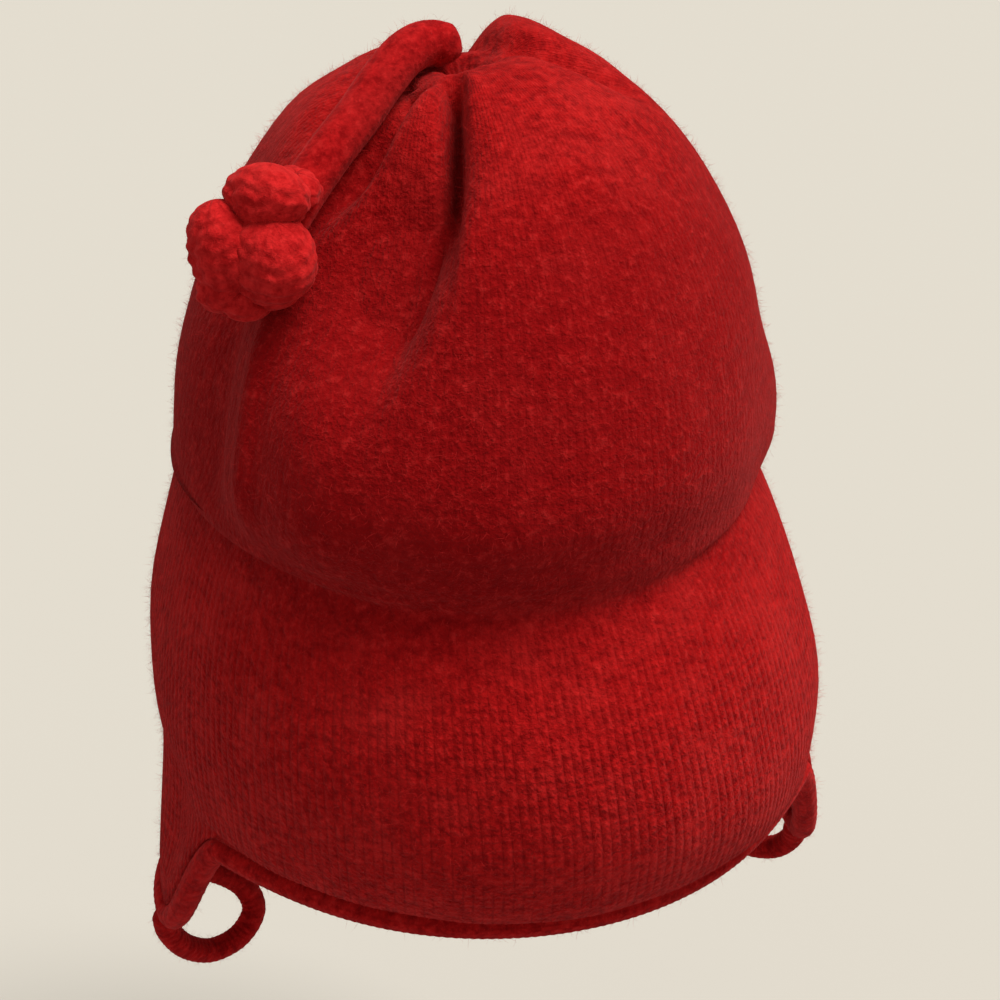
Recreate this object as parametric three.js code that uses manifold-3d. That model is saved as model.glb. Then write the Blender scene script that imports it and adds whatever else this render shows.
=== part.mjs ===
// A felted wool stocking cap with ear flaps, held in the shape it has on a head.
// One knitted shell: a full band that bulges over the brow, a crown that droops over the band in
// a soft overhang, and a gathered top with deep folds. A knitted cord edges the hem and the flaps
// and makes a loop under each flap. A long tail leaves the gather and ends in a big yarn knot.
// Millimetres, +Z up, the front of the cap faces -Y, the flaps hang at -X and +X.
// The origin is the middle of the hem opening. Azimuth 0 is the front and +90 is the +X side.
import * as THREE from "three";
import { mergeVertices } from "three/addons/utils/BufferGeometryUtils.js";
import Module from "manifold-3d";

// Driving dimensions
const BAND_WIDTH = 176;
const BAND_DEPTH = 198;
const BAND_HEIGHT = 100;
const CROWN_WIDTH = 146;
const CROWN_DEPTH = 178;
const CROWN_HEIGHT = 102;
const WALL = 3;
const EDGE_CORD = 7;
const LOOP_CORD = 7;
const TAIL_CORD = 11;
const KNOT_SIZE = 20;
const FLAP_WIDTH = 84;
const FLAP_LENGTH = 41;
const FLAP_TIP = 20;
const FLAP_AZIMUTH = 97;
const FLARE_AZIMUTH = 94;
const FLARE_SPREAD = 26;
const LEFT_FLARE = 11;
const RIGHT_FLARE = 14;
const SEAT_GAP = 0.3;

// Fineness of the solids
const COLUMN_STEP = 5.9;
const FLAP_COLUMN_STEP = 4.1;
const CORD_SIDES = 8;
const TAIL_SIDES = 10;
const LOOP_STEPS = 14;
const TAIL_STEPS = 12;
const LOBE_SIDES = 12;
const LOBE_RINGS = 8;

// Sections of the band, from the hem up. Height is a share of BAND_HEIGHT, width of half
// BAND_WIDTH, front and back of half BAND_DEPTH, lean (towards +X) of half BAND_WIDTH,
// drop (how far the front hangs below the sides) of BAND_HEIGHT.
const BAND_SECTIONS = [
  { name: "hem", height: 0, width: 0.92, front: 0.845, back: 0.94, lean: 0, drop: -0.04 },
  { name: "low_band", height: 0.15, width: 0.985, front: 0.93, back: 0.98, lean: 0, drop: -0.01 },
  { name: "bulge", height: 0.37, width: 1, front: 0.995, back: 1, lean: -0.01, drop: 0 },
  { name: "high_band", height: 0.62, width: 0.955, front: 0.96, back: 0.97, lean: -0.035, drop: 0 },
  { name: "neck", height: 0.87, width: 0.865, front: 0.86, back: 0.91, lean: -0.055, drop: 0.02 },
  { name: "crease", height: 1, width: 0.8, front: 0.823, back: 0.86, lean: -0.065, drop: 0.07 },
];

// Sections of the crown, from the overhanging lip up over the crest and down into the gather.
// Height is a share of CROWN_HEIGHT above the crease, width and lean of half CROWN_WIDTH,
// front and back of half CROWN_DEPTH, drop of BAND_HEIGHT.
const CROWN_SECTIONS = [
  { name: "lip", height: -0.03, width: 0.94, front: 0.925, back: 0.98, lean: -0.08, drop: -0.015 },
  { name: "low_crown", height: 0.05, width: 1, front: 0.95, back: 1, lean: -0.085, drop: 0 },
  { name: "mid_crown", height: 0.24, width: 0.99, front: 0.97, back: 0.98, lean: -0.065, drop: 0.02 },
  { name: "crown", height: 0.5, width: 0.9, front: 0.83, back: 0.88, lean: -0.035, drop: 0 },
  { name: "shoulder", height: 0.74, width: 0.715, front: 0.63, back: 0.7, lean: -0.03, drop: 0 },
  { name: "top", height: 0.9, width: 0.51, front: 0.43, back: 0.49, lean: -0.04, drop: 0 },
  { name: "crest", height: 0.985, width: 0.29, front: 0.25, back: 0.29, lean: -0.07, drop: 0 },
  { name: "inner", height: 0.99, width: 0.16, front: 0.135, back: 0.15, lean: -0.08, drop: 0 },
  { name: "dip", height: 0.945, width: 0.085, front: 0.07, back: 0.075, lean: -0.08, drop: 0 },
  { name: "gather", height: 0.91, width: 0.045, front: 0.037, back: 0.037, lean: -0.08, drop: 0 },
];

// Folds, dents and bulges, a row for each. low and high are its azimuths in degrees at the lowest
// and the highest section that it reaches; from and to count sections from the hem, and fadeIn and
// fadeOut are the lengths over which it fades; left and right are its half widths and depth how far
// it stands out, all shares of half CROWN_WIDTH. A fold with a narrow right side is a knife fold
// that laps over its left side.
const FOLD_COLUMNS = [
  "name", "low", "high", "from", "to", "fadeIn", "fadeOut", "left", "right", "depth",
];
const FOLDS = [
  ["front_slit", -21, -17, 9.7, 13.2, 1.2, 1.2, 0.082, 0.034, -0.11],
  ["front_dent", -30, -18, 8.7, 12.4, 1.1, 2.5, 0.38, 0.07, -0.245],
  ["left_groove", -54, -46, 9.2, 13, 1.4, 1.4, 0.07, 0.07, -0.07],
  ["right_groove", 72, 86, 10.6, 13.8, 1, 1, 0.07, 0.07, -0.07],
  ["back_groove", 167, 167, 9.6, 13.8, 1.4, 1, 0.095, 0.095, -0.11],
  ["tail_seat", -58, -100, 9.8, 14, 1.6, 1, 0.165, 0.13, -0.096],
  ["back_right_lobe", 125, 125, 10.8, 13.8, 1.5, 1.2, 0.2, 0.2, 0.05],
  ["left_back_slope", -130, -130, 10.3, 13.8, 1.5, 1.2, 0.3, 0.3, -0.055],
  ["left_ridge", -54, -62, 6.6, 9.8, 1.2, 1, 0.055, 0.055, 0.034],
  ["left_valley", -70, -80, 6.4, 10.2, 1.4, 1.4, 0.19, 0.12, -0.08],
  ["left_bulge", -42, -44, 6.4, 9.4, 1.3, 1, 0.27, 0.27, 0.048],
  ["right_bulge", 80, 80, 6, 8.6, 1, 1.4, 0.25, 0.25, 0.08],
].map((row) => Object.fromEntries(row.map((value, i) => [FOLD_COLUMNS[i], value])));

// Where a fold's width stops shrinking with the cap's radius, as a share of half CROWN_WIDTH
const FOLD_LEAST_RADIUS = 0.08;
// The front's drop fades to this share, turned upwards, at the back
const BACK_RISE = 0.4;
// The flaps flare and lengthen below these sections
const FLARE_SECTION = 1.3;
const FLAP_SECTION = 1;
// How long the wall stays upright above the hem before it swells into the band
const HEM_TURN = 2;
// Rows of the shell's solids, in sections from the hem
const ROWS = [
  0, 0.3, 0.65, 1, 1.5, 2, 2.5, 3, 3.5, 4, 4.5, 5, 5.5, 6, 6.5, 7, 7.5, 8, 8.5, 9, 9.5, 10, 10.5,
  11, 11.5, 12, 12.5, 13, 13.5, 14, 15,
];

// Routes of the free cords, chosen by hand: from the piece they leave to where they end
const TAIL_ROUTE = [
  [-6, 1, 200.3], [-13, 2, 202.6], [-20, -2.2, 201.7], [-27, -8, 197], [-33.3, -13.4, 191.4],
  [-40.4, -19, 185.9], [-46.7, -23.8, 180.2], [-52, -28.3, 175], [-57, -33, 170],
];
const LEFT_LOOP_ROUTE = [
  [-91.6, 5, -42.9], [-90.6, 6, -49.5], [-86, 8.5, -58], [-78.5, 12.5, -64],
  [-70, 16.5, -63.5], [-65, 20, -57.5], [-67.5, 22.5, -50.3], [-75, 24, -45], [-83.3, 24.3, -42.7],
];
const RIGHT_LOOP_ROUTE = [
  [95, 5, -43.2], [95, 7, -49], [91.5, 11, -55], [85.5, 16, -57], [79.8, 20.5, -54.5],
  [78.3, 23.5, -49.5], [81.5, 25.5, -45.2], [86.5, 25.5, -43.6],
];

// The yarn knot: its middle from the tail's end, then its lobes, the place of each from the knot's
// middle and its radii, all shares of KNOT_SIZE
const KNOT_OFFSET = [-0.265, -0.22, 0.075];
const KNOT_LOBES = [
  { name: "upper", x: 0.24, y: 0.12, z: 0.58, across: 0.45, tall: 0.44 },
  { name: "left", x: -0.31, y: 0.06, z: -0.08, across: 0.4, tall: 0.62 },
  { name: "right", x: 0.2, y: -0.08, z: -0.16, across: 0.5, tall: 0.56 },
  { name: "lower", x: -0.08, y: 0, z: -0.62, across: 0.36, tall: 0.26 },
];

const SECTIONS = [
  ...BAND_SECTIONS.map((s) => ({
    z: s.height * BAND_HEIGHT,
    half: (s.width * BAND_WIDTH) / 2,
    front: (s.front * BAND_DEPTH) / 2,
    back: (s.back * BAND_DEPTH) / 2,
    lean: (s.lean * BAND_WIDTH) / 2,
    drop: s.drop * BAND_HEIGHT,
  })),
  ...CROWN_SECTIONS.map((s) => ({
    z: BAND_HEIGHT + s.height * CROWN_HEIGHT,
    half: (s.width * CROWN_WIDTH) / 2,
    front: (s.front * CROWN_DEPTH) / 2,
    back: (s.back * CROWN_DEPTH) / 2,
    lean: (s.lean * CROWN_WIDTH) / 2,
    drop: s.drop * BAND_HEIGHT,
  })),
];
const LAST_SECTION = SECTIONS.length - 1;
const SIZES = ["z", "half", "front", "back", "lean", "drop"];

const radians = THREE.MathUtils.degToRad;
const clamp = THREE.MathUtils.clamp;
const wrapped = (degrees) => THREE.MathUtils.euclideanModulo(degrees + 180, 360) - 180;
const eased = (x) => THREE.MathUtils.smoothstep(x, 0, 1);

// A smooth value through four neighbours, at t between the middle two
function catmullRom(a, b, c, d, t) {
  const linear = (c - a) * t;
  const square = (2 * a - 5 * b + 4 * c - d) * t * t;
  const cube = (3 * b - a - 3 * c + d) * t * t * t;
  return (2 * b + linear + square + cube) / 2;
}

// The cap's section at any height, between the rows of the tables
function sectionAt(s) {
  const i = clamp(Math.floor(s), 0, LAST_SECTION - 1);
  const t = s - i;
  const here = SECTIONS[i];
  const next = SECTIONS[i + 1];
  const section = {};
  for (const size of SIZES) {
    const before = i > 0 ? SECTIONS[i - 1][size] : 2 * here[size] - next[size];
    const after = i < LAST_SECTION - 1 ? SECTIONS[i + 2][size] : 2 * next[size] - here[size];
    section[size] = catmullRom(before, here[size], next[size], after, t);
  }
  return section;
}

// How far an ear flap hangs below the hem at an azimuth
function flapDrop(azimuth) {
  const hemRadius = SECTIONS[0].half;
  let drop = 0;
  for (const middle of [-FLAP_AZIMUTH, FLAP_AZIMUTH]) {
    const across = Math.abs(radians(wrapped(azimuth - middle))) * hemRadius;
    drop += FLAP_LENGTH * eased((FLAP_WIDTH / 2 - across) / (FLAP_WIDTH / 2 - FLAP_TIP / 2));
  }
  return drop;
}

// How far the flaps stand out from the head at an azimuth
function flare(azimuth, s) {
  const bump = (middle) => Math.exp(-((wrapped(azimuth - middle) / FLARE_SPREAD) ** 2));
  const sides = LEFT_FLARE * bump(-FLARE_AZIMUTH) + RIGHT_FLARE * bump(FLARE_AZIMUTH);
  return sides * eased((FLARE_SECTION - s) / FLARE_SECTION);
}

// The cap's outer face without its folds
function smoothPoint(azimuth, s) {
  const section = sectionAt(s);
  const girth = sectionAt(s < 1 ? s ** HEM_TURN : s);
  const angle = radians(azimuth);
  const forward = Math.cos(angle);
  const out = flare(azimuth, s);
  const depth = (forward > 0 ? girth.front : girth.back) + out;
  const below = clamp(1 - s / FLAP_SECTION, 0, 1);
  return new THREE.Vector3(
    (girth.half + out) * Math.sin(angle) + section.lean,
    -depth * forward,
    section.z +
      (EDGE_CORD + SEAT_GAP) * below -
      flapDrop(azimuth) * below ** 1.5 -
      section.drop * clamp(forward, -BACK_RISE, 1),
  );
}

// The direction out of that face
function outward(azimuth, s) {
  const turn = 0.5;
  const rise = 0.02;
  const across = smoothPoint(azimuth + turn, s).sub(smoothPoint(azimuth - turn, s));
  const up = smoothPoint(azimuth, Math.min(s + rise, LAST_SECTION)).sub(
    smoothPoint(azimuth, Math.max(s - rise, 0)),
  );
  return across.cross(up).normalize();
}

// How far the folds move the face out at a point
function foldDepth(azimuth, s, radius) {
  const unit = CROWN_WIDTH / 2;
  const reach = Math.max(radius, FOLD_LEAST_RADIUS * unit);
  let depth = 0;
  for (const fold of FOLDS) {
    const share = clamp((s - fold.from) / (fold.to - fold.from), 0, 1);
    const away = wrapped(azimuth - fold.low - (fold.high - fold.low) * share);
    const halfWidth = (away < 0 ? fold.left : fold.right) * unit;
    const fade = eased((s - fold.from) / fold.fadeIn) * eased((fold.to - s) / fold.fadeOut);
    depth += fold.depth * unit * fade * Math.exp(-(((radians(away) * reach) / halfWidth) ** 2));
  }
  return depth;
}

// A point of the cap: inset 0 on the outer face, WALL on the inner face
function capPoint(azimuth, s, inset) {
  const point = smoothPoint(azimuth, s);
  const radius = Math.hypot(point.x - sectionAt(s).lean, point.y);
  const depth = foldDepth(azimuth, s, radius) - inset;
  return point.addScaledVector(outward(azimuth, s), depth);
}

// Azimuths of the columns, closer together on the flaps
function columnAzimuths() {
  const flapReach = THREE.MathUtils.radToDeg(FLAP_WIDTH / 2 / SECTIONS[0].half);
  const azimuths = [];
  let azimuth = 0;
  while (azimuth < 180) {
    azimuths.push(azimuth);
    const onFlap = Math.abs(azimuth + COLUMN_STEP / 2 - FLAP_AZIMUTH) < flapReach;
    azimuth += onFlap ? FLAP_COLUMN_STEP : COLUMN_STEP;
  }
  const mirrored = azimuths.slice(1).map((a) => -a);
  return [...mirrored.reverse(), ...azimuths, 180];
}

function geometryOf(points, triangles) {
  const geometry = new THREE.BufferGeometry();
  const positions = points.flatMap((p) => [p.x, p.y, p.z]);
  geometry.setAttribute("position", new THREE.Float32BufferAttribute(positions, 3));
  geometry.setIndex(triangles);
  return geometry;
}

// Triangles between ring i and ring j of a grid whose rings close on themselves
function ringBand(i, j, count) {
  const triangles = [];
  for (let k = 0; k < count; k++) {
    const next = (k + 1) % count;
    const [a, b, c, d] = [i * count + k, i * count + next, j * count + next, j * count + k];
    triangles.push(a, b, c, a, c, d);
  }
  return triangles;
}

// The knitted shell: its outer face from the hem to the gather, its inner face back down, and
// the hem's narrow bottom between them
function capShell() {
  const azimuths = columnAzimuths();
  const count = azimuths.length;
  const rings = [
    ...ROWS.map((s) => azimuths.map((a) => capPoint(a, s, 0))),
    ...ROWS.map((s) => azimuths.map((a) => capPoint(a, s, WALL))),
  ];
  const points = rings.flat();
  const triangles = [];
  for (let row = 0; row < ROWS.length - 1; row++) {
    triangles.push(...ringBand(row, row + 1, count));
    triangles.push(...ringBand(ROWS.length + row + 1, ROWS.length + row, count));
  }
  triangles.push(...ringBand(ROWS.length, 0, count));
  const topRows = [[ROWS.length - 1, false], [2 * ROWS.length - 1, true]];
  for (const [row, turned] of topRows) {
    const pole = points.length;
    const middle = new THREE.Vector3();
    rings[row].forEach((p) => middle.addScaledVector(p, 1 / count));
    points.push(middle);
    for (let k = 0; k < count; k++) {
      const [a, b] = [row * count + k, row * count + ((k + 1) % count)];
      triangles.push(...(turned ? [b, a, pole] : [a, b, pole]));
    }
  }
  return geometryOf(points, triangles);
}

// The knitted cord that edges the hem and the flaps: a closed tube under the shell's edge
function edgeCord() {
  const azimuths = columnAzimuths();
  const turn = 0.5;
  const reach = EDGE_CORD / 2;
  const points = [];
  for (const azimuth of azimuths) {
    const out = outward(azimuth, 0);
    const along = smoothPoint(azimuth + turn, 0).sub(smoothPoint(azimuth - turn, 0)).normalize();
    const below = along.clone().cross(out).normalize();
    const centre = smoothPoint(azimuth, 0).addScaledVector(out, -WALL / 2);
    centre.addScaledVector(below, reach + SEAT_GAP);
    for (let k = 0; k < CORD_SIDES; k++) {
      const angle = ((k + 0.5) / CORD_SIDES) * 2 * Math.PI;
      const corner = centre.clone().addScaledVector(out, reach * Math.cos(angle));
      points.push(corner.addScaledVector(below, reach * Math.sin(angle)));
    }
  }
  const triangles = [];
  const rings = azimuths.length;
  for (let ring = 0; ring < rings; ring++) {
    triangles.push(...ringBand(ring, (ring + 1) % rings, CORD_SIDES));
  }
  return geometryOf(points, triangles);
}

// A free cord along its route, with flat ends
function freeCord(route, diameter, sides, steps) {
  const path = new THREE.CatmullRomCurve3(route.map((p) => new THREE.Vector3(...p)));
  const corners = [];
  for (let k = 0; k < sides; k++) {
    const angle = (k / sides) * 2 * Math.PI;
    const reach = diameter / 2;
    corners.push(new THREE.Vector2(reach * Math.cos(angle), reach * Math.sin(angle)));
  }
  return new THREE.ExtrudeGeometry(new THREE.Shape(corners), {
    steps,
    extrudePath: path,
    bevelEnabled: false,
  });
}

const wasm = await Module();
wasm.setup();

// A closed mesh as a solid that can be joined
function solidOf(geometry) {
  const bare = geometry.clone();
  bare.deleteAttribute("normal");
  bare.deleteAttribute("uv");
  const merged = mergeVertices(bare, 1e-3);
  return new wasm.Manifold(
    new wasm.Mesh({
      numProp: 3,
      vertProperties: merged.attributes.position.array,
      triVerts: new Uint32Array(merged.index.array),
    }),
  );
}

// The knot: fat lobes of looped yarn, fused
function tailKnot() {
  const middle = new THREE.Vector3(...TAIL_ROUTE.at(-1));
  middle.addScaledVector(new THREE.Vector3(...KNOT_OFFSET), KNOT_SIZE);
  const lobes = KNOT_LOBES.map((lobe) => {
    const place = middle.clone();
    place.addScaledVector(new THREE.Vector3(lobe.x, lobe.y, lobe.z), KNOT_SIZE);
    const ball = new THREE.SphereGeometry(KNOT_SIZE, LOBE_SIDES, LOBE_RINGS);
    ball.scale(lobe.across, lobe.across, lobe.tall);
    ball.translate(...place);
    return solidOf(ball);
  });
  const seat = freeCord(TAIL_ROUTE, TAIL_CORD + 2 * SEAT_GAP, TAIL_SIDES, TAIL_STEPS);
  const joined = lobes.reduce((whole, lobe) => whole.add(lobe)).subtract(solidOf(seat)).getMesh();
  const geometry = new THREE.BufferGeometry();
  geometry.setAttribute("position", new THREE.Float32BufferAttribute(joined.vertProperties, 3));
  geometry.setIndex([...joined.triVerts]);
  return geometry;
}

function felt(color, roughness) {
  return new THREE.MeshStandardMaterial({ color, roughness, metalness: 0 });
}

const cap = new THREE.Group();

function addPiece(name, geometry, material) {
  const mesh = new THREE.Mesh(geometry, material);
  mesh.name = name;
  cap.add(mesh);
}

addPiece("cap_shell", capShell(), felt(0xb01018, 0.95));
addPiece("edge_cord", edgeCord(), felt(0x9c0e16, 0.95));
for (const [name, route] of [["left_loop", LEFT_LOOP_ROUTE], ["right_loop", RIGHT_LOOP_ROUTE]]) {
  addPiece(name, freeCord(route, LOOP_CORD, CORD_SIDES, LOOP_STEPS), felt(0xa80f18, 0.95));
}
addPiece("tail", freeCord(TAIL_ROUTE, TAIL_CORD, TAIL_SIDES, TAIL_STEPS), felt(0xb8121a, 0.95));
addPiece("tail_knot", tailKnot(), felt(0xc0141c, 0.9));

export default cap;
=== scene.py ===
# A felted wool stocking cap with ear flaps: the knit, its edging, the loops, the tail and its knot.
# Metres, +Z up, the front of the cap faces -Y and the flaps hang at -X and +X. The origin is the
# middle of the hem opening. Azimuth 0 is the front and +90 is the +X side.
import math

import bpy
import numpy as np
from mathutils import Matrix, Vector


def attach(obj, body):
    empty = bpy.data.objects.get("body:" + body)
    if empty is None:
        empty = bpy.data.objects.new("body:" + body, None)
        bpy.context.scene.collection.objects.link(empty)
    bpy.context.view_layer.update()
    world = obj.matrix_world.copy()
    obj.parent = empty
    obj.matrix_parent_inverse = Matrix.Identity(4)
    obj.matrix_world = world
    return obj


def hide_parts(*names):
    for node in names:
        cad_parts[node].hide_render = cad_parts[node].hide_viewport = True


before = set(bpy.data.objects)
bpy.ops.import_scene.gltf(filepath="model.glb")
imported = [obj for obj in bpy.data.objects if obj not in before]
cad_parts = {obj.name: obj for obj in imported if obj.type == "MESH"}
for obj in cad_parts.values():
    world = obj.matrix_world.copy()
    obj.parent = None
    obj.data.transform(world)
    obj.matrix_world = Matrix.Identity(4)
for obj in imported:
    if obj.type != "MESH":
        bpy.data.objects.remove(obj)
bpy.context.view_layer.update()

# Camera, at the photograph's viewing angle and frame
CAMERA_TARGET = Vector((0, 0, 0.092))
CAMERA_AZIMUTH = -13
CAMERA_ELEVATION = 27.3
CAMERA_DISTANCE = 0.57
CAMERA_LENS = 79.56
CAMERA_SENSOR = 36
CAMERA_SHIFT = (0.013, -0.040)

# Sizes of the cap, as in the solids
BAND_WIDTH = 0.176
BAND_DEPTH = 0.198
BAND_HEIGHT = 0.100
CROWN_WIDTH = 0.146
CROWN_DEPTH = 0.178
CROWN_HEIGHT = 0.102
WALL = 0.003
EDGE_CORD = 0.007
LOOP_CORD = 0.007
TAIL_CORD = 0.011
KNOT_SIZE = 0.020
FLAP_WIDTH = 0.084
FLAP_LENGTH = 0.041
FLAP_TIP = 0.020
FLAP_AZIMUTH = 97
FLARE_AZIMUTH = 94
FLARE_SPREAD = 26
LEFT_FLARE = 0.011
RIGHT_FLARE = 0.014
SEAT_GAP = 0.0003

# The knit: stitch columns round the cap, height of a stitch row and depth of the ribs
WALES = 236
COURSE = 0.0019
RIB_DEPTH = 0.00007
# Mesh columns for each stitch column
COLUMNS_PER_WALE = 4

# Sections of the cap from the hem up: height, half width, half depth in front and at the back,
# lean towards +X and drop of the front, as shares of the band's or the crown's sizes. The last
# band row is the waist's crease and the first crown row the lip over it
BAND_SECTIONS = [
    (0, 0.92, 0.845, 0.94, 0, -0.04),
    (0.15, 0.985, 0.93, 0.98, 0, -0.01),
    (0.37, 1, 0.995, 1, -0.01, 0),
    (0.62, 0.955, 0.96, 0.97, -0.035, 0),
    (0.87, 0.865, 0.86, 0.91, -0.055, 0.02),
    (1, 0.8, 0.823, 0.86, -0.065, 0.07),
]
CROWN_SECTIONS = [
    (-0.03, 0.998, 0.925, 0.985, -0.08, -0.015),
    (0.05, 1, 0.95, 1, -0.085, 0),
    (0.24, 0.99, 0.97, 0.98, -0.065, 0.02),
    (0.5, 0.9, 0.83, 0.88, -0.035, 0),
    (0.74, 0.715, 0.63, 0.7, -0.03, 0),
    (0.9, 0.51, 0.43, 0.49, -0.04, 0),
    (0.985, 0.29, 0.25, 0.29, -0.07, 0),
    (0.99, 0.16, 0.135, 0.15, -0.08, 0),
    (0.945, 0.085, 0.07, 0.075, -0.08, 0),
    (0.91, 0.045, 0.037, 0.037, -0.08, 0),
]

# Folds: azimuth at its low and its high end, first and last section, fade lengths in and out,
# half widths to the left and right and depth, the last three as shares of half CROWN_WIDTH
FOLDS = {
    "front_slit": (-21, -17, 9.4, 13, 1.6, 1, 0.055, 0.02, -0.17),
    "front_dent": (-38, -17, 8.2, 11.9, 1.9, 2.3, 0.34, 0.09, -0.24),
    "left_groove": (-64, -47, 9.4, 13, 1.4, 1.2, 0.08, 0.06, -0.11),
    "right_groove": (72, 86, 10.6, 13.8, 1, 1, 0.07, 0.07, -0.07),
    "back_groove": (167, 167, 9.6, 13.8, 1.4, 1, 0.095, 0.095, -0.11),
    "tail_seat": (-58, -100, 9.8, 14, 1.6, 1, 0.165, 0.13, -0.096),
    "back_right_lobe": (125, 125, 10.8, 13.8, 1.5, 1.2, 0.2, 0.2, 0.05),
    "left_back_slope": (-130, -130, 10.3, 13.8, 1.5, 1.2, 0.3, 0.3, -0.055),
    "left_ridge": (-54, -62, 6.6, 9.8, 1.2, 1, 0.055, 0.055, 0.034),
    "left_valley": (-70, -80, 6.4, 10.2, 1.4, 1.4, 0.19, 0.12, -0.08),
    "left_bulge": (-42, -44, 6.4, 9.4, 1.3, 1, 0.27, 0.27, 0.075),
    "right_bulge": (80, 80, 6, 8.6, 1, 1.4, 0.25, 0.25, 0.08),
    "left_flap_hollow": (-88, -84, 0.02, 1.5, 0.4, 0.8, 0.17, 0.17, -0.06),
    "right_flap_hollow": (88, 84, 0.02, 1.5, 0.4, 0.8, 0.17, 0.17, -0.06),
}
# Least radius that a fold's width is measured at, as a share of half CROWN_WIDTH
FOLD_LEAST_RADIUS = 0.08
# Sections that the flares and the flaps reach up to, how the flaps curve down and how the hem
# turns in
FLARE_SECTION = 1.3
FLAP_SECTION = 1
FLAP_CURVE = 1.5
HEM_TURN = 2
# Heights of the felt's long and short waves
LONG_WAVES = 0.00035
SHORT_WAVES = 0.00018
# The waist's crease, the sections over which the waves rise beside it and the share of these
# that stays calm
WAIST_SECTION = 5.5
WAVE_RISE = 1.4
WAVE_CALM = 0.4
# Section where the ribs end and over how many they fade, and the widths of a stitch at which
# they vanish and over which they come back
RIB_END = 5
RIB_FADE = 1.5
RIB_LEAST_PITCH = 0.0007
RIB_PITCH_FADE = 0.0011
# Rows of the outer and the inner face, in sections from the hem: start, end and how many
OUTER_ROWS = [(0, 1, 8), (1, 4, 13), (4, 7.5, 26), (7.5, 13, 32), (13, 15, 8)]
INNER_ROWS = [(0, 4, 5), (4, 7.5, 6), (7.5, 15, 5)]

# Routes of the free cords, as in the solids, from the piece they leave to where they end
TAIL_ROUTE = [
    (-0.0060, 0.0010, 0.2003), (-0.0130, 0.0020, 0.2026), (-0.0200, -0.0022, 0.2017),
    (-0.0270, -0.0080, 0.1970), (-0.0333, -0.0134, 0.1914), (-0.0404, -0.0190, 0.1859),
    (-0.0467, -0.0238, 0.1802), (-0.0520, -0.0283, 0.1750), (-0.0570, -0.0330, 0.1700),
]
LEFT_LOOP_ROUTE = [
    (-0.0916, 0.0050, -0.0429), (-0.0906, 0.0060, -0.0495), (-0.0860, 0.0085, -0.0580),
    (-0.0785, 0.0125, -0.0640), (-0.0700, 0.0165, -0.0635), (-0.0650, 0.0200, -0.0575),
    (-0.0675, 0.0225, -0.0503), (-0.0750, 0.0240, -0.0450), (-0.0833, 0.0243, -0.0427),
]
RIGHT_LOOP_ROUTE = [
    (0.0950, 0.0050, -0.0432), (0.0950, 0.0070, -0.0490), (0.0915, 0.0110, -0.0550),
    (0.0855, 0.0160, -0.0570), (0.0798, 0.0205, -0.0545), (0.0783, 0.0235, -0.0495),
    (0.0815, 0.0255, -0.0452), (0.0865, 0.0255, -0.0436),
]

# How far a loop's ends go into the edging, and the lengths over which the first ends narrow
LOOP_ROOT = 0.0035
LOOP_NARROWING = 0.0045
TAIL_NARROWING = 0.004
# Stitch columns round each cord, sides of its mesh and points along it
EDGE_WALES = 8
LOOP_WALES = 4
TAIL_WALES = 12
EDGE_SIDES = 14
LOOP_SIDES = 24
TAIL_SIDES = 48
LEFT_LOOP_STEPS = 220
RIGHT_LOOP_STEPS = 190
TAIL_STEPS = 230
# How far the stitches stand out and how full the edging is, as shares of the cord's radius
LOOP_RELIEF = 0.02
TAIL_RELIEF = 0.005
EDGE_RELIEF = 0.018
EDGE_FULLNESS = 1.02

# The knot: its middle from the tail's end, then the place and the two radii of each lobe, as
# shares of KNOT_SIZE, and the stitch columns round it
KNOT_OFFSET = (-0.265, -0.22, 0.075)
KNOT_LOBES = {
    "collar": (0.56, 0.3, 0.5, 0.3, 0.22, 6),
    "upper": (0.22, 0.12, 0.5, 0.46, 0.38, 8),
    "left": (-0.29, 0.06, -0.06, 0.42, 0.58, 8),
    "right": (0.2, -0.08, -0.14, 0.52, 0.54, 9),
    "left_foot": (-0.34, 0.02, -0.5, 0.3, 0.27, 6),
    "lower": (-0.08, -0.04, -0.62, 0.3, 0.25, 6),
    "right_foot": (0.2, 0, -0.52, 0.36, 0.26, 6),
}
# Height of the knot's stitches, how far they stand out, most tilt of a lobe, how uneven the
# lobes are and the fineness of their mesh
KNOT_COURSE = 0.0034
KNOT_RELIEF = 0.00075
LOBE_TILT = 0.35
LOBE_UNEVENNESS = 0.08
LOBE_ROWS = 66
LOBE_COLUMNS = 84

# The wools' colours
DEEP_RED = (0.22, 0.002, 0.003)
WOOL_RED = (0.52, 0.009, 0.009)
PALE_RED = (0.72, 0.035, 0.032)
# The tail's red: the wool's red made darker, painted shade on the tail
TAIL_SHADED_RED = (0.48, 0.009, 0.01)
YARN_DEEP = (0.34, 0.005, 0.006)
YARN_RED = (0.66, 0.02, 0.02)
FIBRE_RED = (0.66, 0.03, 0.028)
WOOL_SHEEN_TINT = (1, 0.18, 0.17, 1)
FIBRE_SHEEN_TINT = (1, 0.1, 0.1, 1)
# Scales of the felt's patterns on the object, and of the loops that are drawn on the stitches
MAT_SCALE = 1100
MATTED_SCALE = 400
TUFT_SCALE = 280
PATCH_SCALE = 190
CLOUD_SCALE = 60
DRAWN_SCALE = 0.85
FIBRE_SCALE = 300
# Shares of tufts, loops and mat in the tone from deep to middle red
TUFT_SHARE = 0.35
LOOP_SHARE = 0.4
MAT_SHARE = 0.25
# How far clouds, tufts and flecks go towards their own red, and how far the painted shade in the
# felt's pits goes towards the deep red
CLOUD_TONE = 0.2
PIT_SHADE = 0.55
TUFT_TONE = 0.22
FLECK_TONE = 0.3
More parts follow.
